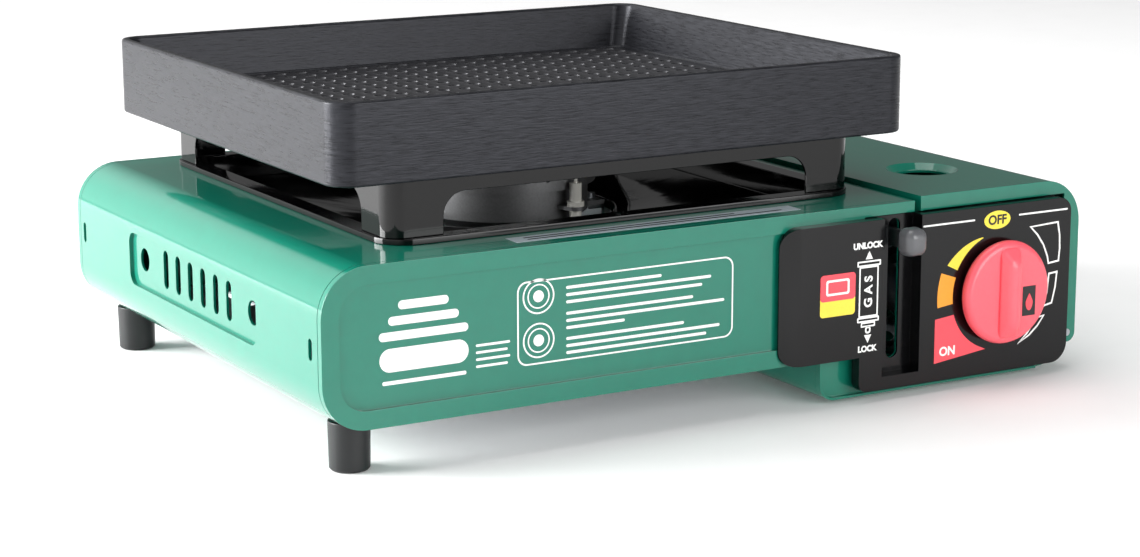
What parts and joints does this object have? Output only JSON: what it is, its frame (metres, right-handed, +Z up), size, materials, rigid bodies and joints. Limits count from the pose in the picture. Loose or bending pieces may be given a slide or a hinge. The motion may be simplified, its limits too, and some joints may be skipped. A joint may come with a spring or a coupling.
{
  "type": "camping stove",
  "caption": "Portable cassette-gas camping stove with a green sheet-steel body, rectangular griddle, hinged cartridge lid, round knob and lock lever.",
  "frame": {"origin": "on the ground, under the middle of the bounding box", "axes": "+X towards the cartridge compartment, -Y out of the front with the controls, +Z up"},
  "size_m": [0.34, 0.262, 0.1325],
  "materials": {
    "green_enamel": "semi-gloss green enamel",
    "zinc_steel": "zinc-plated sheet",
    "black_enamel": "gloss black enamel",
    "coated_cast": "fine-textured dark coating on cast aluminium",
    "bare_cast": "plain die casting",
    "black_plastic": "fine-grained matt",
    "knob_plastic": "satin dark grey",
    "brass": "turned",
    "ceramic": "white glazed ceramic",
    "lead_rubber": "plain"
  },
  "bodies": {
    "stove_body": {"body_shell": "green_enamel", "front_panel": "green_enamel", "rear_panel": "green_enamel", "bottom_plate": "zinc_steel", "cartridge_tub": "green_enamel", "heat_partition": "zinc_steel", "lid_hinge_pins": "zinc_steel", "control_panel": "black_plastic", "burner_base": "bare_cast", "burner_cap": "bare_cast", "burner_screws": "zinc_steel", "burner_bracket": "zinc_steel", "mixing_tube": "zinc_steel", "jet_nozzle": "brass", "gas_valve": "bare_cast", "governor_cap": "zinc_steel", "cartridge_collar": "zinc_steel", "valve_bracket": "zinc_steel", "igniter_body": "black_plastic", "spark_electrode": "ceramic", "igniter_lead": "lead_rubber", "lever_pivot": "zinc_steel", "lever_bracket": "zinc_steel", "rail_guides": "zinc_steel", "cartridge_cradle": "zinc_steel", "leg_front_left": "black_plastic", "leg_rear_left": "black_plastic", "leg_nuts": "zinc_steel", "tub_feet": "black_plastic"},
    "lid": {"compartment_lid": "green_enamel"},
    "tray": {"drip_tray": "black_enamel", "pan_support": "black_enamel"},
    "griddle_plate": {"griddle": "coated_cast"},
    "knob": {"control_knob": "knob_plastic", "valve_spindle": "brass", "cam_disc": "black_plastic"},
    "plunger": {"igniter_plunger": "zinc_steel"},
    "lever": {"lock_lever": "zinc_steel", "lever_knob": "knob_plastic"},
    "carrier": {"cartridge_carrier": "zinc_steel"}
  },
  "joints": [
    {"name": "lid_hinge", "type": "hinge", "parent": "stove_body", "child": "lid", "pos_m": [0.166, 0.008, 0.015], "axis": [0, 1, 0], "range_deg": [0, 100]},
    {"name": "tray_lift", "type": "slide", "parent": "stove_body", "child": "tray", "axis": [0, 0, 1], "range_m": [0, 0.04]},
    {"name": "griddle_lift", "type": "slide", "parent": "tray", "child": "griddle_plate", "axis": [0, 0, 1], "range_m": [0, 0.06]},
    {"name": "knob_turn", "type": "hinge", "parent": "stove_body", "child": "knob", "pos_m": [0.1256, -0.115, 0.0384], "axis": [0, -1, 0], "range_deg": [0, 130]},
    {"name": "igniter_push", "type": "slide", "parent": "stove_body", "child": "plunger", "axis": [0, 1, 0], "range_m": [0, 0.0042]},
    {"name": "lever_tip", "type": "hinge", "parent": "stove_body", "child": "lever", "pos_m": [0.077, -0.06, 0.041], "axis": [1, 0, 0], "range_deg": [0, 34]},
    {"name": "carrier_slide", "type": "slide", "parent": "stove_body", "child": "carrier", "axis": [0, -1, 0], "range_m": [0, 0.0092]}
  ],
  "couplings": [
    {"joint": "igniter_push", "follows": "knob_turn", "m_per_rad": 0.0017629},
    {"joint": "carrier_slide", "follows": "lever_tip", "m_per_rad": 0.015456}
  ]
}
